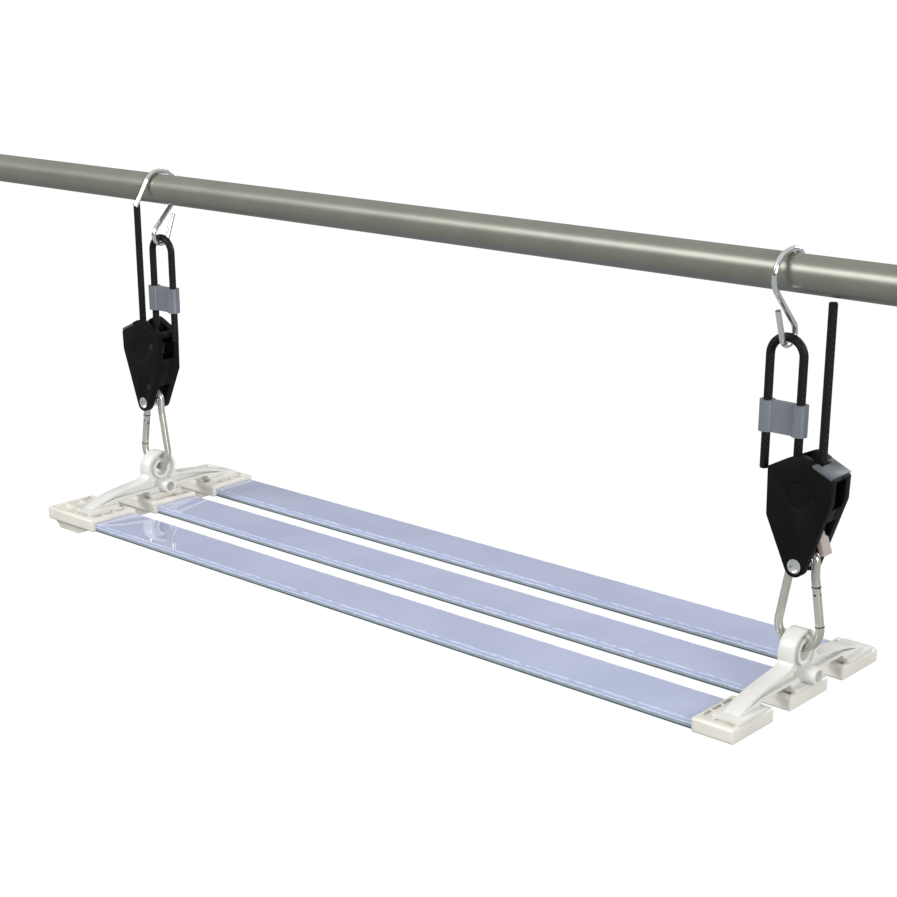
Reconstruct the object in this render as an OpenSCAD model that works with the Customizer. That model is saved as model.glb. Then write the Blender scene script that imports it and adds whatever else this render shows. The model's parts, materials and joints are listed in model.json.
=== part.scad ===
// Pulley rack that hangs from a ceiling rail: two rope ratchets carry three light bars.
// X runs along the rail, Z is up, and the origin is on the rail's axis between the hangers.

/* [Ceiling rail] */
// Outside diameter of the rail tube
rail_d = 25.4; // [20:0.1:32]
// Wall thickness of the rail tube
rail_wall = 1.5; // [1:0.1:3]
// Length of the rail tube
rail_l = 1150; // [900:10:1600]

/* [Hangers] */
// Distance between the two ratchet housings
hanger_span = 676; // [520:1:780]
// Air left between pieces that hang on each other
hang_gap = 0.3; // [0.3:0.05:0.6]

/* [Hooks] */
// Wire diameter of the S-hooks
hook_wire_d = 4; // [3:0.1:5]
// How far the hook's big bend bulges in front of the rail
hook_bulge = 6.5; // [4:0.1:12]
// Radius of the hook's small bend
hook_small_r = 8; // [7.6:0.1:12]
// Length of the hook's straight lead over the rail
hook_lead = 25; // [10:0.5:35]
// Length of the small bend's free leg
hook_tip = 21; // [10:0.5:28]

/* [Rope] */
// Rope diameter
rope_d = 6; // [5:0.1:7]
// Distance between the two legs of the rope loop
loop_w = 25.2; // [22:0.1:30]
// Length of the loop's legs above the sleeve
loop_leg = 31; // [20:0.5:60]
// Length of the cut tail below the sleeve
tail_stub = 26; // [5:0.5:40]
// Length of the free rope end above the housing
free_end = 106; // [60:1:107]

/* [Sleeve] */
// Height of the crimp sleeve
sleeve_h = 21.5; // [15:0.5:30]
// Wall of the sleeve around each leg
sleeve_wall = 2.4; // [1.5:0.1:3]
// Thickness of the web between the legs
sleeve_web = 5; // [3:0.1:6]

/* [Ratchet housing] */
// Thickness of the housing over both plates
housing_t = 25; // [23:0.1:30]
// Width of the housing at its shoulders
housing_w = 48.5; // [45:0.1:56]
// Gap between the plates
cavity_t = 12.8; // [12.4:0.1:14]
// Wall of the housing's narrow sides
side_wall = 3; // [2:0.1:4]
// Length of rope between the sleeve and the housing's crown
run_gap = 9.5; // [5:0.5:40]
// Radius of the sheave at the rope's centre
sheave_r = 9.35; // [8.5:0.05:9.8]
// Width of the sheave
sheave_t = 10; // [9.6:0.1:11]
// Diameter of the sheave's axle
axle_d = 6; // [4:0.1:7]
// Diameter of the hollow pin that carries the carabiner
eyelet_d = 10; // [8:0.1:11]
// Wall of the hollow pin
eyelet_wall = 0.8; // [0.5:0.1:1.5]
// Depth of the hollow in each end of the pin
eyelet_cup = 2.5; // [1:0.1:5]

/* [Carabiners] */
// Wire diameter of the carabiners
snap_wire_d = 6; // [5:0.1:6.4]
// Length of a carabiner over its ends
snap_l = 76; // [66:0.5:90]
// Width over the wire's centre line at the wide end
snap_w = 32; // [30:0.5:36]
// Width over the wire's centre line at the narrow end
snap_neck_w = 19.6; // [18:0.2:22]
// Length of the gate
gate_l = 28; // [20:0.5:30]

/* [Brackets] */
// Width of the bracket's flanges
flange_w = 12.4; // [10:0.1:16]
// Thickness of the bracket's flanges
flange_t = 2.3; // [1.5:0.1:2.6]
// Thickness of the bracket's web
web_t = 3; // [2:0.1:4]
// Outer radius of the bracket's ring
ring_r = 15.75; // [14:0.05:18]
// Diameter of the eye that the carabiner passes
eye_d = 13; // [12.4:0.1:14]
// Outer diameter of the rim around the eye
eye_rim_d = 18.5; // [17:0.1:20]
// Height of the arms above the caps at the ring
arm_rise = 16; // [14:0.5:19]
// Outside diameter of the bracket's tubular boss
boss_d = 13; // [10:0.1:14]
// Bore of the boss
boss_bore_d = 8.5; // [6:0.1:9]
// Reach of the boss from the bracket's middle plane
boss_reach = 17.7; // [14:0.1:20]
// Width of a bracket's pad along the rail
pad_w = 24; // [20:0.5:26]
// Length of the outer pads across the rack
pad_l = 34; // [28:0.5:38]
// Thickness of the pads
pad_t = 3; // [2:0.1:4]

/* [Light bars] */
// Distance between the middle lines of neighbouring bars
bar_pitch = 70.7; // [66:0.1:80]
// Width of a bar
bar_w = 42.5; // [38:0.1:44]
// Thickness of a bar
bar_t = 7; // [6:0.1:7.4]
// Thickness of the bar's dark bottom plate
bar_base_t = 1.2; // [0.8:0.1:1.6]
// Thickness of the bar's glossy top sheet
bar_face_t = 1.3; // [0.8:0.1:1.6]

/* [End caps] */
// Width of a cap across the rack
cap_w = 50; // [49:0.1:54]
// Height of a cap
cap_h = 11.5; // [11:0.1:14]
// Length of the caps at the right-hand end
cap_right_l = 34; // [32:0.5:40]
// Length of the caps at the left-hand end
cap_left_l = 65; // [58:0.5:80]
// Depth of the slot that holds the bar
cap_slot = 20; // [12:0.5:24]
// Depth of the driver box under each left-hand cap
box_h = 8; // [4:0.5:12]

/* [Hidden] */
$fn = 48;

fit = 0.05;
slip = 0.1;
hair = 0.1;
bead = 0.05;
rail_r = rail_d / 2;
hang_x = hanger_span / 2;

// Hook: the lead hugs the rail, the big bend stands off in front, a 45 degree leg
// runs down to the small bend, whose centre is right under the rail
hook_r = rail_r + hang_gap + hook_wire_d / 2;
lead_angle = 33;
bulge_drop = 1;
bulge_tilt = atan2(bulge_drop, hook_bulge);
hook_low_z = -(hook_r + hook_small_r) * sqrt(2) - hook_bulge - bulge_drop;
tip_angle = 200.5;
hook_x = hang_x - sheave_r - loop_w / 2;

// Rope loop and sleeve
rope_r = rope_d / 2;
loop_r = loop_w / 2;
rope_top_z = hook_low_z - (hook_small_r - hook_wire_d / 2) + rope_r + hang_gap + fit;
loop_z = rope_top_z - loop_r;
sleeve_top_z = loop_z - loop_leg;
sleeve_low_z = sleeve_top_z - sleeve_h;
sleeve_r = rope_r + sleeve_wall;
dead_x = hang_x - sheave_r;
free_x = hang_x + sheave_r;

// Housing outline, measured from the crown's height and the housing's middle
crown_z = sleeve_low_z - run_gap;
shoulder_drop = 10.5;
crown_r = 9;
left_knee_drop = 44;
right_knee_drop = 29;
axle_drop = 26;
tip_drop = 76;
tip_r = 7.6;
axle_z = crown_z - axle_drop;
eyelet_z = crown_z - tip_drop;
shoulder_x = housing_w / 2;
axle_head_r = 8.3;
axle_head_t = 1.2;
exit_z = crown_z - 4.5;

// Screws that hold the two shells together, from the crown
screw_places = [[-15, -22], [-9, -60]];
screw_d = 2.6;
screw_head_d = 5;
screw_head_t = 1.6;
screw_l = housing_t - 3;

// Rope guide on the slope of the free rope's side
guide_t = 2;
guide_l = 16.1;
guide_slope = atan2(shoulder_drop - 1.4, shoulder_x - 4);
guide_back = 16.3;

// Windows and openings in the narrow sides, measured down from the crown
window_top = 14;
window_low = 34;
bar_low = 43;
left_wall_end = 59;

// Sheave and lever
flange_r = sheave_r + rope_r + 0.6;
tooth_h = 0.8;
tooth_n = 16;
lever_w = 10;
lever_core_t = lever_w - 4;
lever_arm_r = 1.9;
lever_nose_r = 1.2;
lever_pivot = [7, -46.5];
lever_nose = [-2.5, -41.2];
lever_knee = [12.5, -56];
lever_tip = [16.5, -67];
lever_pin_d = 3;
lever_hub_r = 3.2;
spring_wire = 0.8;

// Carabiner outline, measured from the hollow pin
snap_r = snap_wire_d / 2;
snap_top = eyelet_d / 2 + hang_gap + snap_r;
snap_corner_r = 6.5;
snap_neck = snap_neck_w / 2;
snap_bow_r = snap_w / 2;
snap_bow = snap_top + snap_wire_d - snap_l + snap_bow_r;
snap_kink = -7.5;
kink_rise = snap_kink - snap_bow;
kink_away = norm([snap_neck, kink_rise]);
touch_angle = atan2(kink_rise, snap_neck) - acos(snap_bow_r / kink_away);
touch = [snap_bow_r * cos(touch_angle), snap_bow + snap_bow_r * sin(touch_angle)];
leg_l = norm([touch[0] - snap_neck, touch[1] - snap_kink]);
leg_tilt = atan2(touch[0] - snap_neck, snap_kink - touch[1]);
kink_r = 25;
kink_run = kink_r * tan(leg_tilt / 2);
kink_top = snap_kink + kink_run;
kink_end = [snap_neck + kink_run * sin(leg_tilt), snap_kink - kink_run * cos(leg_tilt)];
gate_gap = 0.5;
gate_from = leg_l - gate_l;
gate_pivot = 5;
gate_pin_d = 1.6;
tongue_t = 2.4;
tongue_w = 4.4;

// Bracket heights: the eye hangs on the carabiner's wide end
grip_x = flange_w / 2;
grip_z = eyelet_z + snap_bow - sqrt(pow(snap_bow_r - snap_r, 2) - pow(grip_x, 2));
eye_z = grip_z + hang_gap - eye_d / 2;
eye_rise = 24;
cap_top_z = eye_z - eye_rise;
pad_top_z = cap_top_z + pad_t;
arm_low_z = cap_top_z + 5;
boss_z = eye_z - eye_rim_d / 2 - boss_d / 2 + 0.6;
arm_start_y = ring_r + 1.5;
arm_end_y = bar_pitch + 10;
arm_steps = 10;
pad_r = 3;
middle_pad_l = 36;
peg_d = 4;
peg_l = 1.5;
peg_off = 7;
clip_t = 6;
clip_y = 18.5;

// Caps and bars
cap_low_z = cap_top_z - cap_h;
cap_right_x = hang_x + pad_w / 2;
cap_left_x = -(hang_x + pad_w / 2 + cap_left_l - cap_right_l - 2);
bar_low_z = cap_low_z + (cap_h - bar_t) / 2 - 1.4;
bar_x0 = cap_left_x + cap_left_l - cap_slot + slip;
bar_x1 = cap_right_x - cap_right_l + cap_slot - slip;
cap_edge = 3;
recess = 1.5;

// ---- Helpers: bent wire and rope in the plane of the first two axes ----

// Round bar from point p to point q, a hair short at both ends
module bar2(p, q, d) {
  run = q - p;
  translate([p[0], p[1], 0])
    rotate([0, 0, atan2(run[1], run[0])])
      rotate([0, 90, 0])
        translate([0, 0, hair])
          cylinder(h = norm(run) - 2 * hair, d = d);
}

// Round bar bent about the point c from angle a0 to angle a1, a hair short at both ends
module bend2(c, r, a0, a1, d) {
  short = hair / r * 180 / PI;
  translate([c[0], c[1], 0])
    rotate([0, 0, a0 + short])
      rotate_extrude(angle = a1 - a0 - 2 * short, $fn = 64)
        translate([r, 0])
          circle(d = d);
}

// Collar that joins a bar and a bend at the point p, where the wire runs at the angle along
module joint2(p, along, d) {
  translate([p[0], p[1], 0])
    rotate([0, 0, along])
      rotate([0, 90, 0])
        cylinder(h = 6 * hair, d = d + 2 * bead, center = true);
}

// Stands a flat layout up so that its axes become X and Z
module upright() {
  rotate([90, 0, 0]) children();
}

// Stands a flat layout up so that its axes become Y and Z
module crosswise() {
  rotate([90, 0, 90]) children();
}

// Rectangle with four round corners, middle at the origin
module round_rect(w, l, r) {
  square([w, l - 2 * r], center = true);
  square([w - 2 * r, l], center = true);
  for (x = [-1, 1], y = [-1, 1])
    translate([x * (w / 2 - r), y * (l / 2 - r)])
      circle(r = r);
}

// Tube of constant diameter along a list of points that rise along Z
module cord(route, d, sides = 12) {
  last = len(route) - 1;
  rings = [for (p = route, k = [0:sides - 1])
    p + [d / 2 * cos(360 * k / sides), d / 2 * sin(360 * k / sides), 0]];
  walls = [for (i = [0:last - 1], k = [0:sides - 1])
    let (n = (k + 1) % sides)
    [i * sides + k, (i + 1) * sides + k, (i + 1) * sides + n, i * sides + n]];
  low = [[for (k = [0:sides - 1]) k]];
  top = [[for (k = [sides - 1:-1:0]) last * sides + k]];
  polyhedron(points = rings, faces = concat(walls, low, top));
}

// ---- Ceiling rail ----

module ceiling_rail() {
  color([0.60, 0.60, 0.54])
    rotate([0, 90, 0])
      difference() {
        cylinder(h = rail_l, r = rail_r, center = true);
        cylinder(h = rail_l + 2, r = rail_r - rail_wall, center = true);
      }
}

// ---- One hanger, drawn on the right; the left one is turned half round ----

module s_hook() {
  bulge = [-hook_bulge, -bulge_drop];
  low = [0, hook_low_z];
  lead_start = hook_r * [cos(lead_angle), sin(lead_angle)];
  lead_end = lead_start + hook_lead * [sin(lead_angle), -cos(lead_angle)];
  tip_start = low + hook_small_r * [cos(tip_angle), sin(tip_angle)];
  tip_end = tip_start + hook_tip * [sin(tip_angle), -cos(tip_angle)];
  over = hook_r * [-sin(bulge_tilt), cos(bulge_tilt)];
  leg_start = bulge - hook_r * [1, 1] / sqrt(2);
  leg_end = low + hook_small_r * [1, 1] / sqrt(2);
  color([0.80, 0.81, 0.82])
    translate([hook_x, 0, 0])
      crosswise() {
        bar2(lead_end, lead_start, hook_wire_d);
        bend2([0, 0], hook_r, lead_angle, 90 + bulge_tilt, hook_wire_d);
        bar2(over, over + bulge, hook_wire_d);
        bend2(bulge, hook_r, 90 + bulge_tilt, 225, hook_wire_d);
        bar2(leg_start, leg_end, hook_wire_d);
        bend2(low, hook_small_r, tip_angle - 360, 45, hook_wire_d);
        bar2(tip_start, tip_end, hook_wire_d);
        joint2(lead_start, lead_angle + 90, hook_wire_d);
        joint2(over, bulge_tilt, hook_wire_d);
        joint2(over + bulge, bulge_tilt, hook_wire_d);
        joint2(leg_start, 135, hook_wire_d);
        joint2(leg_end, 135, hook_wire_d);
        joint2(tip_start, tip_angle + 90, hook_wire_d);
      }
}

module rope_sling() {
  color([0.09, 0.09, 0.09])
    upright() {
      bend2([hook_x, loop_z], loop_r, 0, 180, rope_d);
      bar2([dead_x, sleeve_low_z], [dead_x, loop_z], rope_d);
      bar2([dead_x - loop_w, sleeve_low_z - tail_stub], [dead_x - loop_w, loop_z], rope_d);
      joint2([dead_x, loop_z], 90, rope_d);
      joint2([dead_x - loop_w, loop_z], 90, rope_d);
    }
}

module crimp_sleeve() {
  color([0.46, 0.48, 0.51])
    translate([0, 0, sleeve_low_z])
      difference() {
        union() {
          for (x = [dead_x, dead_x - loop_w])
            translate([x, 0, 0])
              cylinder(h = sleeve_h, r = sleeve_r);
          translate([dead_x - loop_w, -sleeve_web / 2, 0])
            cube([loop_w, sleeve_web, sleeve_h]);
        }
        for (x = [dead_x, dead_x - loop_w])
          translate([x, 0, -1])
            cylinder(h = sleeve_h + 2, r = rope_r + fit);
      }
}

module rope_run() {
  color([0.09, 0.09, 0.09])
    translate([dead_x, 0, axle_z])
      cylinder(h = sleeve_low_z - fit - axle_z, d = rope_d);
}

module rope_wrap() {
  color([0.09, 0.09, 0.09])
    upright() {
      bend2([hang_x, axle_z], sheave_r, 180, 360, rope_d);
      bar2([free_x, axle_z], [free_x, exit_z + hair], rope_d);
      joint2([free_x, axle_z], 90, rope_d);
    }
}

module rope_tail() {
  tail_rings = 9;
  route = [for (i = [0:tail_rings - 1]) [free_x, 0, exit_z + free_end * i / (tail_rings - 1)]];
  color([0.09, 0.09, 0.09])
    cord(route, rope_d);
}

// Points of an arc about the point c
function arc(c, r, a0, a1, steps) =
  [for (i = [0:steps])
    let (a = a0 + (a1 - a0) * i / steps)
    [c[0] + r * cos(a), c[1] + r * sin(a)]];

// Housing outline in X and Z, measured from the crown
module housing_outline() {
  tilt = atan2(shoulder_drop, shoulder_x);
  polygon(concat(
    [[-shoulder_x, -shoulder_drop], [-shoulder_x + 0.8, -left_knee_drop]],
    arc([0, -tip_drop], tip_r, 205, 335, 12),
    [[shoulder_x - 0.6, -right_knee_drop], [shoulder_x, -shoulder_drop]],
    arc([0, -crown_r], crown_r, 90 - tilt, 90 + tilt, 6)
  ));
}

// Space between the plates, with the walls on the narrow sides left standing
module cavity_outline() {
  inner = shoulder_x - side_wall;
  polygon([
    [-inner, 5],
    [flange_r, 5],
    [flange_r, -6.5],
    [inner, -shoulder_drop - 3.4],
    [inner - 0.6, -right_knee_drop],
    [inner - 5, -bar_low],
    [shoulder_x + 5, -bar_low],
    [shoulder_x + 5, -tip_drop - tip_r - 5],
    [-shoulder_x - 5, -tip_drop - tip_r - 5],
    [-shoulder_x - 5, -left_wall_end],
    [-shoulder_x + side_wall + 9.2, -left_wall_end],
    [-inner + 0.8, -left_knee_drop]
  ]);
}

module housing_body() {
  translate([hang_x, 0, crown_z])
    upright()
      difference() {
        linear_extrude(height = housing_t, center = true)
          housing_outline();
        linear_extrude(height = cavity_t, center = true)
          cavity_outline();
        // Windows in the narrow sides
        translate([-shoulder_x - 5, -window_low, -cavity_t / 2])
          cube([side_wall + 10, window_low - window_top, cavity_t]);
        translate([shoulder_x - side_wall - 5, -window_low, -cavity_t / 2])
          cube([side_wall + 10, window_low - window_top, cavity_t]);
        // Seat of the grey rope guide on the slope
        guide_block(slip);
        // Axle, its heads, the lever's pin and the hollow pin
        translate([0, -axle_drop, 0]) {
          cylinder(h = housing_t + 2, d = axle_d + 2 * fit, center = true);
          for (side = [-1, 1])
            translate([0, 0, side * (housing_t / 2 - axle_head_t / 2 - slip + 0.5)])
              cylinder(h = axle_head_t + 1, r = axle_head_r + 0.3, center = true);
        }
        translate([lever_pivot[0], lever_pivot[1], 0])
          cylinder(h = cavity_t + 8, d = lever_pin_d + 2 * fit, center = true);
        translate([0, -tip_drop, 0])
          cylinder(h = housing_t + 2, d = eyelet_d + 2 * fit, center = true);
        for (p = screw_places)
          translate([p[0], p[1], 0]) {
            cylinder(h = screw_l, d = screw_d + 2 * fit, center = true);
            translate([0, 0, -housing_t / 2 - 0.5])
              cylinder(h = screw_head_t + 0.5 + slip, d = screw_head_d + 0.4);
          }
      }
}

// The slope on the free rope's side that the guide sits on
module guide_block(clear) {
  translate([shoulder_x, -shoulder_drop, 0])
    rotate([0, 0, -guide_slope])
      translate([-guide_back - 2 * clear, -guide_t - clear, 0])
        linear_extrude(height = housing_t + 2 * clear, center = true)
          square([guide_l + 4, guide_t + 6 * clear]);
}

module rope_guide() {
  color([0.43, 0.45, 0.47])
    translate([hang_x, 0, crown_z])
      upright()
        difference() {
          translate([shoulder_x, -shoulder_drop, 0])
            rotate([0, 0, -guide_slope])
              translate([-guide_back, -guide_t, 0])
                linear_extrude(height = housing_t, center = true)
                  square([guide_l, guide_t]);
          translate([sheave_r - 7, -20, 0])
            linear_extrude(height = cavity_t, center = true)
              square([7 + rope_r + 0.4, 30]);
        }
}

module shell_front() {
  color([0.11, 0.11, 0.10])
    intersection() {
      housing_body();
      translate([hang_x - 50, -housing_t, crown_z - 120])
        cube([100, housing_t, 140]);
    }
}

module shell_back() {
  color([0.11, 0.11, 0.10])
    intersection() {
      housing_body();
      translate([hang_x - 50, 0, crown_z - 120])
        cube([100, housing_t, 140]);
    }
}

module shell_screws() {
  color([0.2, 0.2, 0.2])
    translate([hang_x, 0, crown_z])
      upright()
        for (p = screw_places)
          translate([p[0], p[1], 0]) {
            cylinder(h = screw_l, d = screw_d, center = true);
            translate([0, 0, -housing_t / 2 + 0.1])
              cylinder(h = screw_head_t, d = screw_head_d);
          }
}

module sheave() {
  color([0.55, 0.56, 0.57])
    translate([hang_x, 0, axle_z])
      upright()
        union() {
          rotate_extrude($fn = 96)
            difference() {
              translate([axle_d / 2 + fit, -sheave_t / 2])
                square([flange_r - tooth_h - axle_d / 2 - fit, sheave_t]);
              translate([sheave_r, 0])
                circle(r = rope_r + hang_gap);
              translate([sheave_r, -rope_r - hang_gap])
                square([10, 2 * (rope_r + hang_gap)]);
            }
          for (z = [-sheave_t / 2, rope_r + hang_gap])
            translate([0, 0, z])
              linear_extrude(height = sheave_t / 2 - rope_r - hang_gap)
                difference() {
                  ratchet_outline();
                  circle(r = flange_r - tooth_h - 0.5);
                }
        }
}

// Saw-tooth rim of the sheave
module ratchet_outline() {
  polygon([for (i = [0:tooth_n - 1], k = [0, 1])
    let (a = 360 * (i + k * 0.08) / tooth_n, r = k == 0 ? flange_r : flange_r - tooth_h)
    r * [cos(a), sin(a)]]);
}

module axle() {
  color([0.13, 0.13, 0.12])
    translate([hang_x, 0, axle_z])
      upright() {
        cylinder(h = housing_t - 0.2, d = axle_d, center = true);
        for (side = [-1, 1])
          translate([0, 0, side * (housing_t / 2 - axle_head_t / 2 - 0.1)])
            cylinder(h = axle_head_t, r = axle_head_r, center = true);
      }
}

// Flat arm between two points of the lever
module lever_arm(p, q, r) {
  hull()
    for (c = [p, q])
      translate(c)
        circle(r = r, $fn = 24);
}

module release_lever() {
  color([0.74, 0.71, 0.68])
    translate([hang_x, 0, crown_z])
      upright()
        difference() {
          union() {
            linear_extrude(height = lever_core_t, center = true) {
              translate(lever_pivot) circle(r = lever_hub_r);
              lever_arm(lever_pivot, lever_nose, lever_nose_r);
            }
            linear_extrude(height = lever_core_t, center = true)
              lever_arm(lever_pivot, lever_knee, lever_arm_r);
            linear_extrude(height = lever_w, center = true)
              lever_blade();
          }
          translate([lever_pivot[0], lever_pivot[1], 0])
            cylinder(h = lever_w + 2, d = lever_pin_d + 2 * fit, center = true);
        }
}

// Thumb blade at the lever's lower end
module lever_blade() {
  run = lever_tip - lever_knee;
  along = run / norm(run);
  side = [along[1], -along[0]];
  polygon([
    lever_knee - lever_arm_r * side,
    lever_tip - lever_arm_r * side + 0.4 * along,
    lever_tip + 1.7 * side,
    lever_knee + lever_arm_r * side
  ]);
}

module lever_pin() {
  color([0.7, 0.7, 0.7])
    translate([hang_x + lever_pivot[0], 0, crown_z + lever_pivot[1]])
      upright()
        cylinder(h = cavity_t + 7.6, d = lever_pin_d, center = true);
}

// Three turns beside the lever's hub, one leg on the shell's wall
module lever_spring() {
  turn_r = lever_pin_d / 2 + 0.9;
  color([0.75, 0.75, 0.76])
    translate([hang_x + lever_pivot[0], 0, crown_z + lever_pivot[1]])
      upright() {
        for (k = [0:2])
          translate([0, 0, lever_core_t / 2 + 0.6 + k * spring_wire * 0.85])
            rotate_extrude($fn = 48)
              translate([turn_r, 0])
                circle(d = spring_wire, $fn = 16);
        translate([turn_r, 0, lever_core_t / 2 + 0.6])
          rotate([-90, 0, 0])
            cylinder(h = 5.5, d = spring_wire, $fn = 16);
      }
}

module eyelet() {
  color([0.78, 0.79, 0.78])
    translate([hang_x, 0, eyelet_z])
      upright()
        difference() {
          cylinder(h = housing_t, d = eyelet_d, center = true);
          for (side = [-1, 1])
            translate([0, 0, side * housing_t / 2])
              cylinder(h = 2 * eyelet_cup, d = eyelet_d - 2 * eyelet_wall, center = true);
        }
}

// Places its children on the gate's leg: X across it, Y down along it
module on_leg(along) {
  translate([snap_neck, snap_kink, 0])
    rotate([0, 0, leg_tilt])
      translate([0, -along, 0])
        children();
}

module carabiner() {
  corner = snap_neck - snap_corner_r;
  corner_y = snap_top - snap_corner_r;
  color([0.72, 0.73, 0.70])
    translate([hang_x, 0, eyelet_z])
      upright()
        difference() {
          union() {
            bar2([-corner, snap_top], [corner, snap_top], snap_wire_d);
            bend2([corner, corner_y], snap_corner_r, 0, 90, snap_wire_d);
            bend2([-corner, corner_y], snap_corner_r, 90, 180, snap_wire_d);
            for (side = [-1, 1])
              bar2([side * snap_neck, corner_y], [side * snap_neck, kink_top], snap_wire_d);
            bend2([snap_neck + kink_r, kink_top], kink_r, 180, 180 + leg_tilt, snap_wire_d);
            bend2([-snap_neck - kink_r, kink_top], kink_r, -leg_tilt, 0, snap_wire_d);
            bar2([-kink_end[0], kink_end[1]], [-touch[0], touch[1]], snap_wire_d);
            bend2([0, snap_bow], snap_bow_r, -180 - touch_angle, touch_angle, snap_wire_d);
            for (side = [-1, 1]) {
              joint2([side * corner, snap_top], 0, snap_wire_d);
              joint2([side * snap_neck, corner_y], 90, snap_wire_d);
              joint2([side * snap_neck, kink_top], 90, snap_wire_d);
              joint2([side * kink_end[0], kink_end[1]], 90 + side * leg_tilt, snap_wire_d);
            }
            joint2([-touch[0], touch[1]], 90 - leg_tilt, snap_wire_d);
            on_leg(gate_from - gate_gap)
              rotate([-90, 0, 0])
                cylinder(h = gate_from - gate_gap - kink_run - hair, d = snap_wire_d);
            on_leg(gate_from + gate_pivot) {
              cylinder(h = tongue_t, d = tongue_w, center = true);
              translate([-tongue_w / 2, 0, -tongue_t / 2])
                cube([tongue_w - 0.8, gate_pivot + gate_gap + 1, tongue_t]);
            }
          }
          on_leg(gate_from + gate_pivot)
            cylinder(h = snap_wire_d + 2, d = gate_pin_d + 2 * fit, center = true);
        }
}

module gate() {
  low = gate_l - gate_pivot - gate_gap;
  color([0.74, 0.75, 0.72])
    translate([hang_x, 0, eyelet_z])
      upright()
        on_leg(gate_from + gate_pivot)
          difference() {
            intersection() {
              translate([0, -low, 0])
                rotate([-90, 0, 0])
                  cylinder(h = gate_l, d = snap_wire_d);
              union() {
                cylinder(h = snap_wire_d + 2, r = gate_pivot, center = true);
                translate([-snap_wire_d, -low - 1, -snap_wire_d])
                  cube([2 * snap_wire_d, low + 2, 2 * snap_wire_d]);
              }
            }
            // Slot for the tongue, slit on the inner side, pin hole and small cross hole
            translate([-2 * snap_wire_d, -tongue_w / 2 - 1.5, -tongue_t / 2 - 0.2])
              cube([2 * snap_wire_d + tongue_w / 2 + 0.2, gate_pivot + tongue_w, tongue_t + 0.4]);
            translate([-snap_wire_d, -low + 3, -0.6])
              cube([snap_wire_d - 1.8, low - 5, 1.2]);
            cylinder(h = snap_wire_d + 2, d = gate_pin_d + 2 * fit, center = true);
            rotate([0, 90, 0])
              cylinder(h = snap_wire_d, d = 2);
          }
}

module gate_pin() {
  color([0.3, 0.3, 0.3])
    translate([hang_x, 0, eyelet_z])
      upright()
        on_leg(gate_from + gate_pivot)
          cylinder(h = snap_wire_d - 0.4, d = gate_pin_d, center = true);
}

// ---- Rack: brackets, caps and light bars ----

// Top line of a bracket's arm at the distance y from the middle
function arm_line(y) =
  let (t = (y - arm_start_y) / (arm_end_y - arm_start_y))
  cap_top_z + arm_rise * (1 - 0.41 * t - 0.39 * pow(t, 4));

// Outline turned over about the middle line, so that both arms are alike
function mirrored(points) = [for (i = [len(points) - 1:-1:0]) [-points[i][0], points[i][1]]];

// Side outline of both arms, with the fillets that run into the ring
module arms_outline() {
  foot_z = pad_top_z - 0.5;
  pad_in = bar_pitch - pad_l / 2;
  half = concat(
    [[middle_pad_l / 2 - 3, foot_z], [middle_pad_l / 2, arm_low_z],
     [pad_in - 1, arm_low_z], [pad_in + 2, foot_z], [arm_end_y, foot_z]],
    [for (i = [arm_steps:-1:0])
      let (y = arm_start_y + 3 + (arm_end_y - arm_start_y - 3) * i / arm_steps)
      [y, arm_line(y)]],
    [[arm_start_y + 0.6, arm_line(arm_start_y) + 0.7],
     [arm_start_y - 1, arm_line(arm_start_y) + 1.9],
     [arm_start_y - 2.4, arm_line(arm_start_y) + 4.2]]);
  polygon(concat(half, mirrored(half)));
}

// Pocket between the flanges of one arm
module arm_pocket() {
  pad_in = bar_pitch - pad_l / 2;
  stop_y = arm_end_y - 9;
  polygon(concat(
    [[6, arm_low_z + flange_t], [pad_in + 1, arm_low_z + flange_t],
     [arm_end_y - 3, pad_top_z + 0.6]],
    [for (i = [arm_steps:-1:0])
      let (y = arm_start_y + (stop_y - arm_start_y) * i / arm_steps)
      [y, arm_line(y) - flange_t]],
    [[6, arm_line(arm_start_y) - flange_t]]));
}

module bracket(x) {
  side_t = (flange_w - web_t) / 2;
  color([0.95, 0.95, 0.93])
    translate([x, 0, 0])
      difference() {
        union() {
          crosswise()
            difference() {
              union() {
                linear_extrude(height = flange_w, center = true)
                  arms_outline();
                translate([0, eye_z, 0])
                  cylinder(h = flange_w, r = ring_r, center = true);
              }
              for (side = [-1, 1])
                translate([0, 0, side * (web_t + side_t) / 2 + side * 0.5]) {
                  translate([0, eye_z, 0])
                    cylinder(h = side_t + 1, r = ring_r - flange_t, center = true);
                  linear_extrude(height = side_t + 1, center = true)
                    arm_pocket();
                  mirror([1, 0, 0])
                    linear_extrude(height = side_t + 1, center = true)
                      arm_pocket();
                }
            }
          crosswise() {
            translate([0, eye_z, 0])
              cylinder(h = flange_w - 0.2, d = eye_rim_d, center = true);
            translate([0, boss_z, -flange_w / 2 + 0.3])
              cylinder(h = flange_w / 2 - 0.3 + boss_reach, d = boss_d);
          }
          for (k = [-1, 0, 1])
            translate([0, k * bar_pitch, cap_top_z]) {
              linear_extrude(height = pad_t)
                round_rect(pad_w, k == 0 ? middle_pad_l : pad_l, pad_r);
              for (side = [-1, 1])
                translate([side * peg_off, 0, -peg_l])
                  cylinder(h = peg_l + 0.5, d = peg_d);
            }
        }
        crosswise() {
          translate([0, eye_z, 0])
            cylinder(h = flange_w + 2, d = eye_d, center = true);
          translate([0, boss_z, -flange_w])
            cylinder(h = flange_w * 2 + boss_reach, d = boss_bore_d);
        }
      }
}

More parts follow.
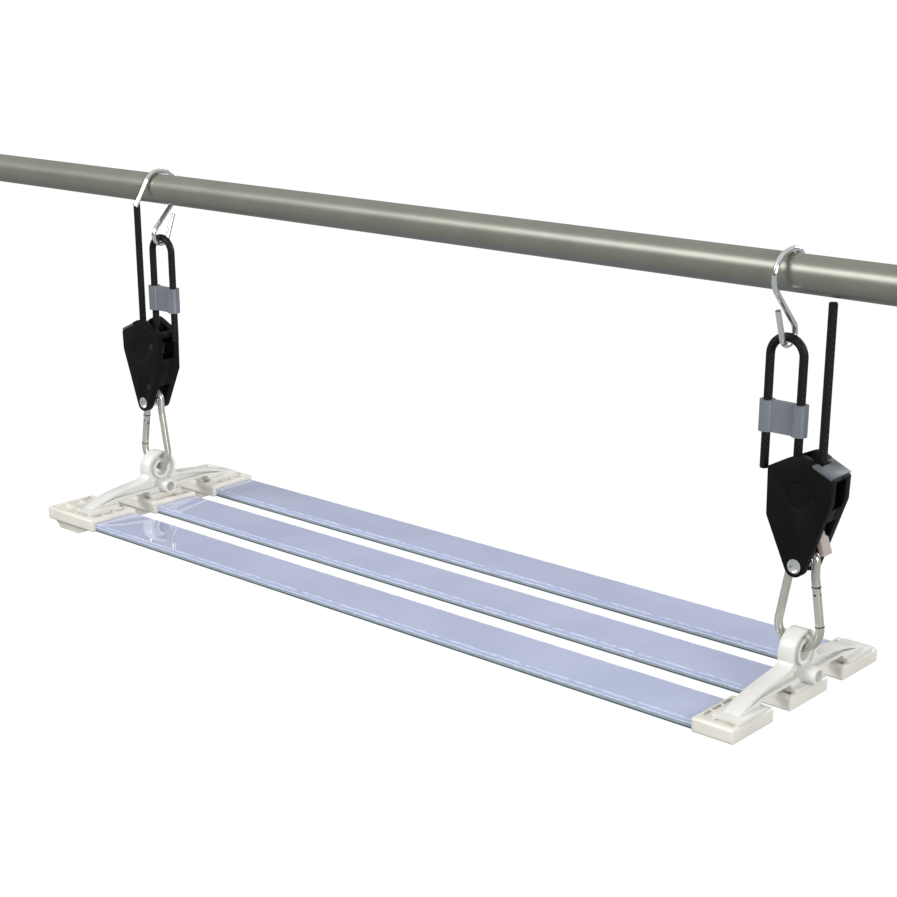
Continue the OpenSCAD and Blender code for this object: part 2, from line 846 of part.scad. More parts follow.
// Box with its edges rounded in all three views
module soft_box(x0, l, w, h, r) {
  intersection() {
    translate([x0 + l / 2, 0, -1])
      linear_extrude(height = h + 2)
        round_rect(l, w, r);
    translate([x0 - 1, 0, h / 2])
      rotate([90, 0, 90])
        linear_extrude(height = l + 2)
          round_rect(w, h, r);
    translate([x0 + l / 2, 0, h / 2])
      rotate([90, 0, 0])
        linear_extrude(height = w + 2, center = true)
          round_rect(l, h, r);
  }
}

// End cap over a bar's end; inner is +1 where the slot opens towards +X
module cap(x0, l, inner, y) {
  slot_x = inner > 0 ? x0 + l - cap_slot : x0 - 1;
  pad_x = inner > 0 ? -hang_x : hang_x;
  lip_x = inner > 0 ? x0 + l : x0;
  strip_x = pad_x + inner * pad_w / 2;
  strip_l = abs(lip_x - strip_x) - 3.5;
  color([0.86, 0.85, 0.80])
    translate([0, y, cap_low_z])
      difference() {
        union() {
          soft_box(x0, l, cap_w, cap_h, cap_edge);
          if (inner > 0)
            rotate([90, 0, 0])
              linear_extrude(height = cap_w - 12, center = true)
                polygon([
                  [x0 + 2, 3],
                  [x0 + 2, 0],
                  [x0 + 10, -box_h],
                  [x0 + l * 0.55, -box_h],
                  [x0 + l * 0.82, 0],
                  [x0 + l * 0.82, 3]
                ]);
        }
        // Slot for the bar
        translate([slot_x, -bar_w / 2 - slip, bar_low_z - cap_low_z - slip])
          cube([cap_slot + 1, bar_w + 2 * slip, bar_t + 2 * slip]);
        // Shallow pockets beside the bracket's pad, with the clip ribs between them
        for (k = [-1, 0, 1])
          translate([strip_x + inner * strip_l / 2 - inner * 0.5, k * 12.5, cap_h])
            cube([strip_l + 1, 11, 2 * recess], center = true);
        for (k = [-1, 1])
          translate([pad_x, k * clip_y, cap_h])
            cube([pad_w - 8, clip_t, 2 * recess], center = true);
        // Peg holes of the bracket
        for (k = [-1, 1])
          translate([pad_x + k * peg_off, 0, cap_h - peg_l - 2 * slip])
            cylinder(h = peg_l + 1, d = peg_d + 2 * fit);
        if (inner > 0)
          for (k = [-1, 0, 1])
            translate([x0 + 3.5, k * 14.5 - 6, cap_h - 2.5])
              cube([pad_x - pad_w / 2 - x0 - 5, 12, 5]);
      }
}

module bar_layer(y, low, t) {
  translate([bar_x0, y - bar_w / 2, bar_low_z + low])
    cube([bar_x1 - bar_x0, bar_w, t]);
}

module bar_base(y) {
  color([0.25, 0.30, 0.35]) bar_layer(y, 0, bar_base_t);
}

module bar_lens(y) {
  color([0.78, 0.81, 0.86]) bar_layer(y, bar_base_t, bar_t - bar_base_t - bar_face_t);
}

module bar_face(y) {
  color([0.73, 0.75, 0.84]) bar_layer(y, bar_t - bar_face_t, bar_face_t);
}

// Turns the right-hand hanger's pieces half round for the left-hand end
module turned() {
  rotate([0, 0, 180]) children();
}

ceiling_rail();

turned() s_hook();  // s_hook_left
turned() rope_sling();  // rope_sling_left
turned() crimp_sleeve();  // crimp_sleeve_left
turned() rope_run();  // rope_run_left
turned() rope_wrap();  // rope_wrap_left
turned() rope_tail();  // rope_tail_left
turned() shell_back();  // shell_front_left
turned() shell_front();  // shell_back_left
turned() rope_guide();  // rope_guide_left
turned() shell_screws();  // shell_screws_left
turned() sheave();  // sheave_left
turned() axle();  // axle_left
turned() release_lever();  // release_lever_left
turned() lever_pin();  // lever_pin_left
turned() lever_spring();  // lever_spring_left
turned() eyelet();  // eyelet_left
turned() carabiner();  // carabiner_left
turned() gate();  // gate_left
turned() gate_pin();  // gate_pin_left

s_hook();  // s_hook_right
rope_sling();  // rope_sling_right
crimp_sleeve();  // crimp_sleeve_right
rope_run();  // rope_run_right
rope_wrap();  // rope_wrap_right
rope_tail();  // rope_tail_right
shell_front();  // shell_front_right
shell_back();  // shell_back_right
rope_guide();  // rope_guide_right
shell_screws();  // shell_screws_right
sheave();  // sheave_right
axle();  // axle_right
release_lever();  // release_lever_right
lever_pin();  // lever_pin_right
lever_spring();  // lever_spring_right
eyelet();  // eyelet_right
carabiner();  // carabiner_right
gate();  // gate_right
gate_pin();  // gate_pin_right

bracket(-hang_x);  // bracket_left
bracket(hang_x);  // bracket_right

cap(cap_left_x, cap_left_l, 1, -bar_pitch);  // cap_left_front
cap(cap_left_x, cap_left_l, 1, 0);  // cap_left_middle
cap(cap_left_x, cap_left_l, 1, bar_pitch);  // cap_left_rear
cap(cap_right_x - cap_right_l, cap_right_l, -1, -bar_pitch);  // cap_right_front
cap(cap_right_x - cap_right_l, cap_right_l, -1, 0);  // cap_right_middle
cap(cap_right_x - cap_right_l, cap_right_l, -1, bar_pitch);  // cap_right_rear

bar_face(-bar_pitch);  // bar_face_front
bar_face(0);  // bar_face_middle
bar_face(bar_pitch);  // bar_face_rear
bar_lens(-bar_pitch);  // bar_lens_front
bar_lens(0);  // bar_lens_middle
bar_lens(bar_pitch);  // bar_lens_rear
bar_base(-bar_pitch);  // bar_base_front
bar_base(0);  // bar_base_middle
bar_base(bar_pitch);  // bar_base_rear
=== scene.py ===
import bpy
import json
import math
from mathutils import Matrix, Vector

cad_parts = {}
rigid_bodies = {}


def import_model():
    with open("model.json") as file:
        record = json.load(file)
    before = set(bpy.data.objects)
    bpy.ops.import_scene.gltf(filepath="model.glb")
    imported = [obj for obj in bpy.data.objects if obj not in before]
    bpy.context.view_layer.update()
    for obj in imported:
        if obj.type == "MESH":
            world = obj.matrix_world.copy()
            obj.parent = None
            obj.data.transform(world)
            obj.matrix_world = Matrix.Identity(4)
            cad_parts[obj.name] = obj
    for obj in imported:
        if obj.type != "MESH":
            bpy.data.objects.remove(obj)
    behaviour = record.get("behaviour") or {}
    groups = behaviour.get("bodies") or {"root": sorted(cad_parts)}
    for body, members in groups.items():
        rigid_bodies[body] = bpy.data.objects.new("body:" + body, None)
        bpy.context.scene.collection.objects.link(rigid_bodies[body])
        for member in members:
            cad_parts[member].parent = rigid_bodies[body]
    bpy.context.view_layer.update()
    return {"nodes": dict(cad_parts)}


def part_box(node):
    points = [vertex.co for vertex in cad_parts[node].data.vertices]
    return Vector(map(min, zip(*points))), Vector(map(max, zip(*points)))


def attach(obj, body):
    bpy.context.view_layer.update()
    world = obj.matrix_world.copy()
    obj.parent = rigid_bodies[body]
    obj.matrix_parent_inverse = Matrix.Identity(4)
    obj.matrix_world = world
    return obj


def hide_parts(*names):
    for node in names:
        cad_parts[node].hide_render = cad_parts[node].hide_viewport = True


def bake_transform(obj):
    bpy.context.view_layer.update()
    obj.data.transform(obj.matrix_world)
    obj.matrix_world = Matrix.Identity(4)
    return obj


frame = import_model()
nodes = frame["nodes"]
sides = {"left": -1, "right": 1}
print("frame loaded")

# The camera stands in front and to the right, a little above the rail
view = {"place": (0.8984, -0.9970, 0.1981), "aim": (-0.628, 0.713, -0.312), "lens": 70.76, "shiftUp": 0.0886,
        "sensor": 36, "farClip": 500}
cameraData = bpy.data.cameras.new("viewCamera")
cameraData.lens = view["lens"]
cameraData.sensor_width = view["sensor"]
cameraData.shift_y = view["shiftUp"]
cameraData.clip_end = view["farClip"]
camera = bpy.data.objects.new("viewCamera", cameraData)
bpy.context.collection.objects.link(camera)
camera.location = view["place"]
camera.rotation_euler = Vector(view["aim"]).to_track_quat("-Z", "Y").to_euler()
bpy.context.scene.camera = camera


def toLinear(hexColour):
    # an sRGB hex value as linear red, green, blue and alpha
    parts = [int(hexColour[i:i + 2], 16) / 255 for i in (1, 3, 5)]
    return [c / 12.92 if c <= 0.04045 else ((c + 0.055) / 1.055) ** 2.4 for c in parts] + [1]


def addNode(tree, kind, settings=None, values=None, links=None):
    # one node, its settings, its plain values and what is linked into it
    node = tree.nodes.new("ShaderNode" + kind)
    for key, value in (settings or {}).items():
        setattr(node, key, value)
    for key, value in (values or {}).items():
        node.inputs[key].default_value = value
    for key, source in (links or {}).items():
        tree.links.new(source, node.inputs[key])
    return node


def newMaterial(name, **shader):
    material = bpy.data.materials.new(name)
    material.use_nodes = True
    tree = material.node_tree
    tree.nodes.clear()
    surface = addNode(tree, "BsdfPrincipled", values=shader)
    addNode(tree, "OutputMaterial", links={"Surface": surface.outputs[0]})
    return material, tree, surface


def twoTone(tree, factor, low, high, spread=(0.35, 0.65)):
    # a ramp from one colour to another, driven by a pattern
    ramp = addNode(tree, "ValToRGB", links={"Fac": factor})
    ramp.color_ramp.elements[0].position = spread[0]
    ramp.color_ramp.elements[1].position = spread[1]
    ramp.color_ramp.elements[0].color = toLinear(low)
    ramp.color_ramp.elements[1].color = toLinear(high)
    return ramp.outputs["Color"]


# Shared by every solid finish: slow colour drift, fine grain in the bump
grainLook = {"driftScale": 35.0, "driftDetail": 3.0, "grainDetail": 2.0, "bumpStrength": 0.6}


def grainMaterial(name, low, high, rough, grain, bump, metallic=0.0, stretch=(1, 1, 1), ior=1.5,
                  roughSwing=0.06, shine=0.5):
    # grain and bump are in millimetres; the roughness wanders a little with the grain
    shader = {"Metallic": metallic}
    if metallic < 0.5:
        shader["IOR"] = ior
        shader["Specular IOR Level"] = shine
    material, tree, surface = newMaterial(name, **shader)
    where = addNode(tree, "TexCoord").outputs["Object"]
    place = addNode(tree, "Mapping", values={"Scale": stretch}, links={"Vector": where}).outputs[0]
    drift = addNode(tree, "TexNoise", links={"Vector": where},
                    values={"Scale": grainLook["driftScale"], "Detail": grainLook["driftDetail"]}).outputs["Fac"]
    fine = addNode(tree, "TexNoise", links={"Vector": place},
                   values={"Scale": 1000.0 / grain, "Detail": grainLook["grainDetail"]}).outputs["Fac"]
    tree.links.new(twoTone(tree, drift, low, high), surface.inputs["Base Color"])
    swing = addNode(tree, "MapRange", values={"To Min": rough - roughSwing, "To Max": rough + roughSwing},
                    links={"Value": fine})
    tree.links.new(swing.outputs[0], surface.inputs["Roughness"])
    raised = addNode(tree, "Bump", values={"Strength": grainLook["bumpStrength"], "Distance": bump / 1000},
                     links={"Height": fine})
    tree.links.new(raised.outputs[0], surface.inputs["Normal"])
    return material


# Anodised aluminium tube, drawn: satin, with a faint grain along the rail
anodisedTube = grainMaterial("anodisedAluminium", "#75766c", "#7a7b70", 0.36, 0.6, 0.006,
                             metallic=0.3, stretch=(0.03, 1, 1), roughSwing=0.03)
# Chrome plated steel wire: mirror bright
chromeWire = grainMaterial("chromePlatedWire", "#dfe0df", "#eaebea", 0.09, 0.5, 0.002,
                           metallic=0.9, roughSwing=0.03)
# Zinc plated steel wire: bright, but cloudy and a little green
zincWire = grainMaterial("zincPlatedSteel", "#b9bcb0", "#c5c7bc", 0.22, 0.8, 0.004,
                         metallic=0.6, roughSwing=0.03)
# Rolled aluminium: satin, blue-grey, with marks along the rope
rolledSleeve = grainMaterial("rolledAluminium", "#80858c", "#898e96", 0.36, 0.35, 0.01,
                             metallic=0.55, stretch=(1, 1, 0.08))
# Moulded glass-filled nylon: nearly black, with a fine spark-eroded texture that kills the shine
blackNylon = grainMaterial("glassFilledNylon", "#030303", "#060505", 0.55, 0.45, 0.04, ior=1.52, shine=0.14)
# Moulded nylon painted grey for the rope guide: a painted reflection of light on the housing's sloped top face;
# smoother, with a soft sheen
greyNylon = grainMaterial("greyNylon", "#4c5157", "#565c62", 0.38, 0.45, 0.03, ior=1.52, shine=0.3)
# Moulded acetal: waxy and smooth
beigeAcetal = grainMaterial("beigeAcetal", "#a89e97", "#b4aba5", 0.32, 0.6, 0.03, ior=1.48)
# Turned steel is satin; blackened steel of screws and pins is dark with bright edges
turnedSteel = grainMaterial("turnedSteel", "#83868a", "#989b9e", 0.3, 0.5, 0.02, metallic=0.95)
blackenedSteel = grainMaterial("blackenedSteel", "#2c2c2c", "#3a3a39", 0.35, 0.4, 0.02, metallic=0.8)
# Moulded white ABS: smooth, with a soft sheen
whiteAbs = grainMaterial("mouldedWhiteAbs", "#d0cfca", "#d7d6d1", 0.36, 0.9, 0.01, ior=1.53)
# Moulded ivory polycarbonate: a shade warmer and duller
ivoryCaps = grainMaterial("mouldedIvoryPolycarbonate", "#cfccc2", "#d8d5cb", 0.42, 0.8, 0.01, ior=1.55)
# Powder coated steel: dark, even and matt
darkCoat = grainMaterial("powderCoatedSteel", "#3c4750", "#4b5660", 0.45, 0.5, 0.04)
print("plain finishes ready")

# Braid of the rope: strands cross every 4.5 mm along it, a little coarser than real ones so that they show
braid = {"pitch": 0.0045, "strandsAround": 8, "depth": 0.00025, "bumpStrength": 0.5, "roughness": 0.5,
         "shine": 0.25, "valley": "#050505", "crest": "#0f0e0e", "spread": (0.2, 0.9)}


def braidedRope():
    # braided polypropylene: two sets of strands cross, so the black surface shows small diamonds, with painted shade
    # darkening the valleys between strands
    material, tree, surface = newMaterial("braidedPolypropylene", IOR=1.49, Roughness=braid["roughness"])
    surface.inputs["Specular IOR Level"].default_value = braid["shine"]
    uv = addNode(tree, "UVMap", settings={"uv_map": "strands"}).outputs[0]
    parts = addNode(tree, "SeparateXYZ", links={"Vector": uv})
    heights = []
    for way in (1, -1):
        along = addNode(tree, "Math", settings={"operation": "MULTIPLY"}, links={0: parts.outputs["Y"]},
                        values={1: way * 2 * math.pi / braid["pitch"]})
        around = addNode(tree, "Math", settings={"operation": "MULTIPLY"}, links={0: parts.outputs["X"]},
                         values={1: 2 * math.pi * braid["strandsAround"]})
        turn = addNode(tree, "Math", settings={"operation": "ADD"},
                       links={0: along.outputs[0], 1: around.outputs[0]})
        wave = addNode(tree, "Math", settings={"operation": "SINE"}, links={0: turn.outputs[0]})
        heights.append(wave.outputs[0])
    highest = addNode(tree, "Math", settings={"operation": "MAXIMUM"}, links={0: heights[0], 1: heights[1]})
    top = highest.outputs[0]
    raised = addNode(tree, "Bump", values={"Strength": braid["bumpStrength"], "Distance": braid["depth"]},
                     links={"Height": top})
    tree.links.new(raised.outputs[0], surface.inputs["Normal"])
    # painted shade: the colour goes darker where the braid dips between strands
    tone = twoTone(tree, top, braid["valley"], braid["crest"], braid["spread"])
    tree.links.new(tone, surface.inputs["Base Color"])
    return material


ropeBraid = braidedRope()

# Ropes: the same route as the CAD, in metres
rope = {"radius": 0.003, "sides": 24, "hookX": 0.31605, "legGap": 0.0252, "loopHeight": -0.055277,
        "sleeveLow": -0.107777, "deadEnd": -0.133777, "hangX": 0.338, "sheave": 0.00935,
        "axleHeight": -0.143277, "exitHeight": -0.121777, "freeLength": 0.106,
        "cutSize": 0.82, "cutEdge": 0.0006, "smoothAngle": 40}


def arcPoints(centre, radius, start, end, steps):
    angles = [math.radians(start + (end - start) * i / steps) for i in range(steps + 1)]
    return [(centre[0] + radius * math.cos(a), 0, centre[1] + radius * math.sin(a)) for a in angles]


def straight(a, b, steps):
    return [tuple(Vector(a).lerp(Vector(b), i / steps)) for i in range(steps + 1)]


def pick(piece):
    # only this piece is selected and active
    if bpy.context.object and bpy.context.object.mode != "OBJECT":
        bpy.ops.object.mode_set(mode="OBJECT")
    bpy.ops.object.select_all(action="DESELECT")
    piece.select_set(True)
    bpy.context.view_layer.objects.active = piece


def tidyNormals(piece):
    pick(piece)
    bpy.ops.object.mode_set(mode="EDIT")
    bpy.ops.mesh.select_all(action="SELECT")
    bpy.ops.mesh.normals_make_consistent(inside=False)
    bpy.ops.object.mode_set(mode="OBJECT")
    bpy.ops.object.shade_smooth_by_angle(angle=math.radians(rope["smoothAngle"]))


def ropeTube(name, path, side, cutEnds=(False, False)):
    # a round tube with its own strand map: X once round, Y in metres along
    points = [Vector((p[0] * side, p[1], p[2])) for p in path]
    rings, lengths, run = [], [], 0.0
    for i, point in enumerate(points):
        before, after = points[max(i - 1, 0)], points[min(i + 1, len(points) - 1)]
        along = (after - before).normalized()
        across = Vector((0, 1, 0))
        third = along.cross(across).normalized()
        run += (point - points[i - 1]).length if i else 0
        lengths.append(run)
        rings.append((point, across, third, 1.0))
    for end, isCut in ((0, cutEnds[0]), (-1, cutEnds[1])):
        if isCut:  # the cut end is sealed with heat, so its edge is drawn in
            point, across, third, _ = rings[end]
            rings[end] = (point, across, third, rope["cutSize"])
            inner = points[1] if end == 0 else points[-2]
            back = point + (inner - point).normalized() * rope["cutEdge"]
            if end == 0:
                rings.insert(1, (back, across, third, 1.0))
                lengths.insert(1, rope["cutEdge"])
            else:
                rings.insert(len(rings) - 1, (back, across, third, 1.0))
                lengths.insert(len(lengths) - 1, run - rope["cutEdge"])
    count = rope["sides"]
    verts, faces = [], []
    for point, across, third, size in rings:
        for k in range(count):
            a = 2 * math.pi * k / count
            verts.append(point + (across * math.cos(a) + third * math.sin(a)) * rope["radius"] * size)
    for i in range(len(rings) - 1):
        for k in range(count):
            n = (k + 1) % count
            faces.append((i * count + k, i * count + n, (i + 1) * count + n, (i + 1) * count + k))
    faces.append(tuple(range(count - 1, -1, -1)))
    faces.append(tuple(range((len(rings) - 1) * count, len(rings) * count)))
    mesh = bpy.data.meshes.new(name)
    mesh.from_pydata([tuple(v) for v in verts], [], faces)
    strands = mesh.uv_layers.new(name="strands")
    for face in mesh.polygons:
        for corner in face.loop_indices:
            spot = mesh.loops[corner].vertex_index
            ring, k = divmod(spot, count)
            wraps = face.index < (len(rings) - 1) * count and face.index % count == count - 1 and k == 0
            strands.data[corner].uv = ((k + count if wraps else k) / count, lengths[ring])
    piece = bpy.data.objects.new(name, mesh)
    bpy.context.collection.objects.link(piece)
    tidyNormals(piece)
    mesh.materials.append(ropeBraid)
    return piece, [tuple(p) for p in points]


for name, side in sides.items():
    deadX = rope["hangX"] - rope["sheave"]
    freeX = rope["hangX"] + rope["sheave"]
    farX = deadX - rope["legGap"]
    loopRadius = rope["legGap"] / 2
    loop = (straight((farX, 0, rope["deadEnd"]), (farX, 0, rope["loopHeight"]), 12)[:-1]
            + arcPoints((rope["hookX"], rope["loopHeight"]), loopRadius, 180, 0, 28)
            + straight((deadX, 0, rope["loopHeight"]), (deadX, 0, rope["sleeveLow"]), 8)[1:])
    piece, _ = ropeTube("ropeLoop_" + name, loop, side, (True, False))
    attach(piece, "sling_" + name)
    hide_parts("rope_sling_" + name)

    run = straight((deadX, 0, rope["sleeveLow"]), (deadX, 0, rope["axleHeight"]), 14)
    piece, _ = ropeTube("ropeRun_" + name, run, side)
    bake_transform(piece)
    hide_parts("rope_run_" + name)

    wrap = (arcPoints((rope["hangX"], rope["axleHeight"]), rope["sheave"], 180, 360, 28)
            + straight((freeX, 0, rope["axleHeight"]), (freeX, 0, rope["exitHeight"]), 5)[1:])
    piece, _ = ropeTube("ropeWrap_" + name, wrap, side)
    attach(piece, "housing_" + name)
    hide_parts("rope_wrap_" + name)

    tail = straight((freeX, 0, rope["exitHeight"]), (freeX, 0, rope["exitHeight"] + rope["freeLength"]), 20)
    piece, path = ropeTube("ropeTail_" + name, tail, side, (False, True))
    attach(piece, "housing_" + name)
    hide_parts("rope_tail_" + name)
print("ropes ready")


# Light bars: acrylic glued to its body, with a ragged pale line near the long edges
bars = {"pitch": 0.0707, "lineFrom": 0.0165, "lineTo": 0.0215, "lineCut": (0.34, 0.5),
        "face": ("#a2aac8", "#aab2cf"),
        "glue": "#c9cfe6", "driftScale": 14.0, "speckScale": 1600.0, "faceRough": (0.015, 0.04), "coat": 1.0,
        "edgeRough": 0.22, "edgeShake": 0.28, "edgeBump": 0.0001, "edgeBumpStrength": 0.3,
        "edgeStops": ((0.30, "#8f9aa2"), (0.42, "#a9b3bc"), (0.55, "#cfd5ea"), (0.72, "#abb4d4"),
                      (0.98, "#a3acd0"))}


def raggedPaleLine(tree, where):
    # noise drawn out along the bar
    longWays = addNode(tree, "Mapping", values={"Scale": (0.35, 1, 1)}, links={"Vector": where}).outputs[0]
    return addNode(tree, "TexNoise", values={"Scale": 420.0, "Detail": 4.0, "Roughness": 0.65},
                   links={"Vector": longWays}).outputs["Fac"]


def barFaceMaterial():
    # acrylic sheet: glossy lavender, with a ragged pale line along its two long edges
    material, tree, surface = newMaterial("glossyAcrylic", IOR=1.49)
    where = addNode(tree, "TexCoord").outputs["Object"]
    parts = addNode(tree, "SeparateXYZ", links={"Vector": where})
    cell = addNode(tree, "Math", settings={"operation": "DIVIDE"}, values={1: bars["pitch"]},
                   links={0: parts.outputs["Y"]})
    near = addNode(tree, "Math", settings={"operation": "ROUND"}, links={0: cell.outputs[0]})
    off = addNode(tree, "Math", settings={"operation": "SUBTRACT"}, links={0: cell.outputs[0], 1: near.outputs[0]})
    away = addNode(tree, "Math", settings={"operation": "ABSOLUTE"}, links={0: off.outputs[0]})
    edge = addNode(tree, "MapRange", links={"Value": away.outputs[0]},
                   values={"From Min": bars["lineFrom"] / bars["pitch"], "From Max": bars["lineTo"] / bars["pitch"]})
    glue = addNode(tree, "Math", settings={"operation": "MULTIPLY"},
                   links={0: edge.outputs[0], 1: raggedPaleLine(tree, where)})
    line = addNode(tree, "MapRange", values={"From Min": bars["lineCut"][0], "From Max": bars["lineCut"][1]},
                   links={"Value": glue.outputs[0]})
    drift = addNode(tree, "TexNoise", values={"Scale": bars["driftScale"], "Detail": 2.0}, links={"Vector": where})
    base = twoTone(tree, drift.outputs["Fac"], *bars["face"])
    mix = addNode(tree, "Mix", settings={"data_type": "RGBA"}, values={7: toLinear(bars["glue"])},
                  links={0: line.outputs[0], 6: base})
    tree.links.new(mix.outputs[2], surface.inputs["Base Color"])
    speck = addNode(tree, "TexNoise", values={"Scale": bars["speckScale"], "Detail": 1.0}, links={"Vector": where})
    rough = addNode(tree, "MapRange", values={"To Min": bars["faceRough"][0], "To Max": bars["faceRough"][1]},
                    links={"Value": speck.outputs["Fac"]})
    tree.links.new(rough.outputs[0], surface.inputs["Roughness"])
    surface.inputs["Coat Weight"].default_value = bars["coat"]
    return material


barFace = barFaceMaterial()


def barEdgeMaterial():
    # edge of the same acrylic: lavender above, the ragged pale line, then a cloudy grey foot
    material, tree, surface = newMaterial("acrylicEdge", IOR=1.49, Roughness=bars["edgeRough"])
    where = addNode(tree, "TexCoord").outputs["Object"]
    parts = addNode(tree, "SeparateXYZ", links={"Vector": where})
    ragged = raggedPaleLine(tree, where)
    low, top = [corner[2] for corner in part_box("bar_lens_front")]
    height = addNode(tree, "MapRange", values={"From Min": low, "From Max": top},
                     links={"Value": parts.outputs["Z"]})
    shake = addNode(tree, "MapRange", values={"To Min": -bars["edgeShake"], "To Max": bars["edgeShake"]},
                    links={"Value": ragged})
    level = addNode(tree, "Math", settings={"operation": "ADD"}, links={0: height.outputs[0], 1: shake.outputs[0]})
    ramp = addNode(tree, "ValToRGB", links={"Fac": level.outputs[0]})
    stops = ramp.color_ramp.elements
    first, last = bars["edgeStops"][0], bars["edgeStops"][-1]
    stops[0].position, stops[0].color = first[0], toLinear(first[1])
    stops[1].position, stops[1].color = last[0], toLinear(last[1])
    for place, colour in bars["edgeStops"][1:-1]:
        stops.new(place).color = toLinear(colour)
    tree.links.new(ramp.outputs["Color"], surface.inputs["Base Color"])
    raised = addNode(tree, "Bump", values={"Strength": bars["edgeBumpStrength"], "Distance": bars["edgeBump"]},
                     links={"Height": ragged})
    tree.links.new(raised.outputs[0], surface.inputs["Normal"])
    return material


barEdge = barEdgeMaterial()

# Finish of every CAD node that stays as it is
finishes = {"ceiling_rail": anodisedTube, "s_hook": chromeWire, "crimp_sleeve": rolledSleeve,
            "shell_screws": blackenedSteel, "sheave": turnedSteel, "lever_pin": chromeWire,
            "lever_spring": chromeWire, "eyelet": chromeWire, "carabiner": zincWire,
            "gate_pin": blackenedSteel, "gate": zincWire, "axle": blackNylon,
            "bar_face": barFace, "bar_lens": barEdge, "bar_base": darkCoat}


def paint(node, material):
    for slot in node.material_slots:
        slot.link = "OBJECT"
        slot.material = material


for name, node in nodes.items():
    for start in sorted(finishes, key=len, reverse=True):
        if name.startswith(start):
            paint(node, finishes[start])
            break
print("metal parts painted")

# Mouldings: copies of the CAD solids with the edge radii of real moulded parts, in metres
moulded = {
    "shell_front": {"edge": 0.0005, "finish": blackNylon, "slot": "housing_black", "body": "housing_"},
    "shell_back": {"edge": 0.0005, "finish": blackNylon, "slot": "housing_black", "body": "housing_"},
    # the rope guide's grey is a painted reflection of light on the housing's sloped top face
    "rope_guide": {"edge": 0.0003, "finish": greyNylon, "slot": "guide_grey", "body": "housing_"},
    "release_lever": {"edge": 0.0004, "finish": beigeAcetal, "slot": "lever_beige", "body": "lever_"},
    "bracket": {"edge": 0.0006, "finish": whiteAbs, "slot": "bracket_white", "body": "rack"},
    "cap": {"edge": 0.0005, "finish": ivoryCaps, "slot": "cap_plastic", "body": "rack"},
}


rounded = {"mergeBelow": 1e-6, "flatAngle": 0.5, "segments": 2, "edgeAngle": 38, "smoothAngle": 35}


def softCopy(node, spec, body):
    pick(node)
    bpy.ops.object.duplicate()
    piece = bpy.context.active_object
    bpy.ops.object.parent_clear(type="CLEAR_KEEP_TRANSFORM")
    bpy.ops.object.mode_set(mode="EDIT")
    bpy.ops.mesh.select_all(action="SELECT")
    bpy.ops.mesh.remove_doubles(threshold=rounded["mergeBelow"])
    bpy.ops.mesh.dissolve_limited(angle_limit=math.radians(rounded["flatAngle"]))
    bpy.ops.object.mode_set(mode="OBJECT")
    rounding = piece.modifiers.new("edges", "BEVEL")
    rounding.width = spec["edge"]
    rounding.segments = rounded["segments"]
    rounding.limit_method = "ANGLE"
    rounding.angle_limit = math.radians(rounded["edgeAngle"])
    bpy.ops.object.modifier_apply(modifier="edges")
    bpy.ops.mesh.customdata_custom_splitnormals_clear()
    bpy.ops.object.shade_smooth_by_angle(angle=math.radians(rounded["smoothAngle"]))
    piece.name = node.name.replace("_", "") + "Moulded"
    piece.data.materials.clear()
    piece.data.materials.append(spec["finish"])
    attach(piece, body)
    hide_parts(node.name)


for name in sorted(nodes):
    for start, spec in moulded.items():
        if name.startswith(start + "_"):
            body = spec["body"] if spec["body"] == "rack" else spec["body"] + name.split("_")[-1]
            softCopy(nodes[name], spec, body)
print("mouldings ready")

# Painted shadow where a gate meets its carabiner: thin dark rings in the blackened steel finish, set into the wire,
# stand in for the shade in the seam
gateRing = {"wire": 0.003, "thick": 0.00042, "tilt": 9.55, "pin": (0.338, -0.193277), "around": 40, "across": 8,
            "smoothAngle": 50, "fromPin": {"Top": (0.01109, -0.01519), "Low": (0.01574, -0.04280)}}
for name, side in sides.items():
    for end, (x, z) in gateRing["fromPin"].items():
        spot = ((gateRing["pin"][0] + x) * side, 0, gateRing["pin"][1] + z)
        bpy.ops.object.select_all(action="DESELECT")
        bpy.ops.mesh.primitive_torus_add(location=spot, rotation=(0, -math.radians(gateRing["tilt"]) * side, 0),
                                         major_segments=gateRing["around"], minor_segments=gateRing["across"],
                                         major_radius=gateRing["wire"], minor_radius=gateRing["thick"])
        ring = bpy.context.active_object
        bpy.ops.object.transform_apply(location=True, rotation=True, scale=True)
        bpy.ops.object.shade_smooth_by_angle(angle=math.radians(gateRing["smoothAngle"]))
        ring.name = "gateRing" + end + "_" + name
        ring.data.materials.append(blackenedSteel)
        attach(ring, "carabiner_" + name)
print("gate rings ready")

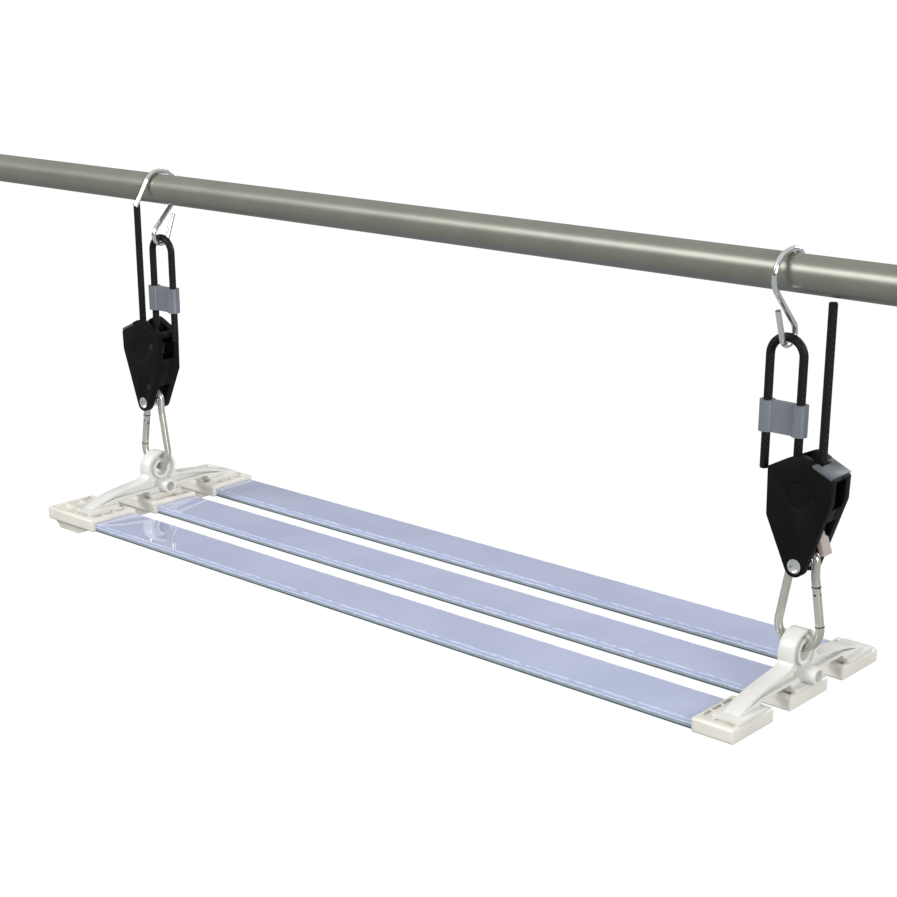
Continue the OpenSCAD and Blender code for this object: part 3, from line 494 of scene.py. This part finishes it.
# Studio: floor and backdrop are white to the eye and soft grey to the object; three soft suns light it all round
studio = {"floorHeight": -0.75, "floorSize": 300, "floorWhite": 1.02, "floorGrey": "#9a9c9e",
          "suns": {"keyLight": (2.3, (0.50, 0.74, -0.62)), "fillLight": (2.1, (-0.85, 0.30, -0.26)),
                   "backLight": (1.1, (-0.15, -0.85, -0.30))},
          "sunSpread": 26, "skyStrength": 0.64, "skyHigh": "#ffffff", "skyLow": "#4a4d50",
          "skyRise": (-0.1, 0.9), "skySpread": (0.15, 0.6)}
bpy.context.scene.view_settings.view_transform = "Standard"
bpy.ops.mesh.primitive_plane_add(size=studio["floorSize"], location=(0, 0, studio["floorHeight"]))
floor = bpy.context.active_object
floor.name = "floor"
floorMaterial, floorTree, floorSurface = newMaterial("paleFloor", Roughness=0.9)
floorSurface.inputs["Base Color"].default_value = toLinear(studio["floorGrey"])
floorSurface.inputs["Specular IOR Level"].default_value = 0
seen = addNode(floorTree, "LightPath").outputs["Is Camera Ray"]
white = addNode(floorTree, "Emission", values={"Color": toLinear("#ffffff"), "Strength": studio["floorWhite"]})
shown = addNode(floorTree, "MixShader", links={0: seen, 1: floorSurface.outputs[0], 2: white.outputs[0]})
floorTree.links.new(shown.outputs[0], floorTree.nodes["Material Output"].inputs["Surface"])
floor.data.materials.append(floorMaterial)
for name, (strength, way) in studio["suns"].items():
    lampData = bpy.data.lights.new(name, "SUN")
    lampData.energy = strength
    lampData.angle = math.radians(studio["sunSpread"])
    lamp = bpy.data.objects.new(name, lampData)
    bpy.context.collection.objects.link(lamp)
    lamp.rotation_euler = Vector(way).to_track_quat("-Z", "Y").to_euler()
world = bpy.data.worlds.new("sky")
world.use_nodes = True
sky = world.node_tree
skyWay = addNode(sky, "SeparateXYZ", links={"Vector": addNode(sky, "TexCoord").outputs["Generated"]})
skyRise = addNode(sky, "MapRange", values={"From Min": studio["skyRise"][0], "From Max": studio["skyRise"][1]},
                  links={"Value": skyWay.outputs["Z"]})
skyTone = twoTone(sky, skyRise.outputs[0], studio["skyLow"], studio["skyHigh"], studio["skySpread"])
seen = addNode(sky, "LightPath").outputs["Is Camera Ray"]
skyWhite = [studio["floorWhite"] / studio["skyStrength"]] * 3 + [1]
skyShown = addNode(sky, "Mix", settings={"data_type": "RGBA"}, values={7: skyWhite}, links={0: seen, 6: skyTone})
sky.links.new(skyShown.outputs[2], sky.nodes["Background"].inputs["Color"])
sky.nodes["Background"].inputs["Strength"].default_value = studio["skyStrength"]
bpy.context.scene.world = world
print("studio ready")
